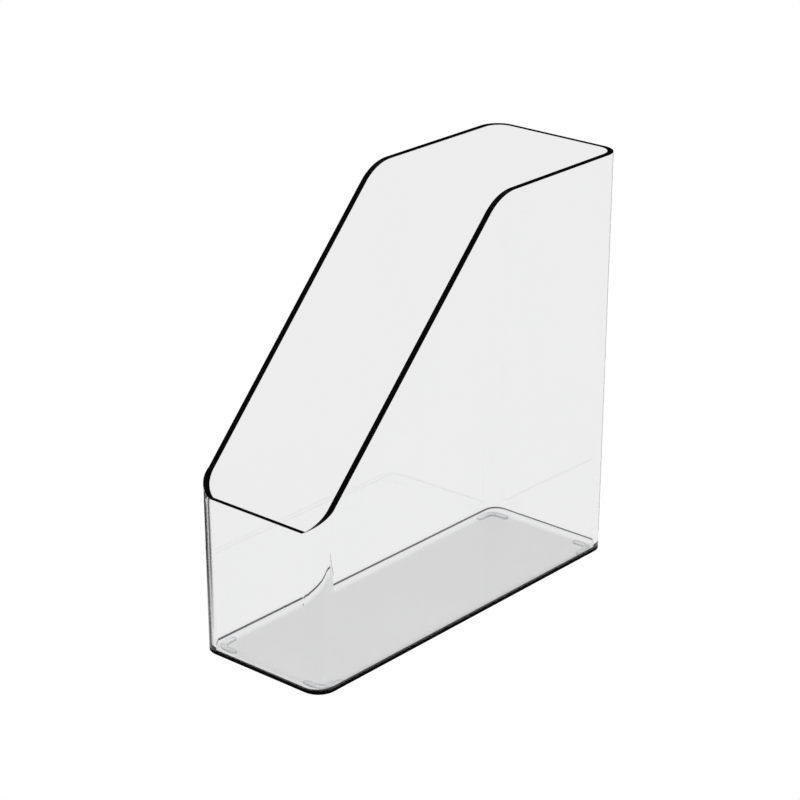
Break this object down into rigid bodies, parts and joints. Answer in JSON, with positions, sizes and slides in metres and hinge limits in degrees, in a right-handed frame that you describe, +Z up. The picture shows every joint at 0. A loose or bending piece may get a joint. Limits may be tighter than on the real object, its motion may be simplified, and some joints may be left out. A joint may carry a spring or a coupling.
{
  "type": "magazine file holder",
  "caption": "Narrow open-topped box of clear plastic that stands on small corner feet and holds magazines upright, with a low front, sloped sides and a tall back.",
  "frame": {"origin": "middle of the overall plan size, at the height of the surface the feet rest on", "axes": "+Z up; -Y towards the low front panel, +Y towards the tall back; X across the narrow width"},
  "size_m": [0.1054, 0.2908, 0.2816],
  "materials": {
    "clear_wall_plastic": "polished, clear",
    "clear_base_plastic": "polished, clear",
    "clear_foot_plastic": "satin, clear"
  },
  "bodies": {
    "root": {"wall_shell": "clear_wall_plastic", "base_plate": "clear_base_plastic", "foot_front_left": "clear_foot_plastic", "foot_front_right": "clear_foot_plastic", "foot_rear_left": "clear_foot_plastic", "foot_rear_right": "clear_foot_plastic"}
  },
  "joints": []
}
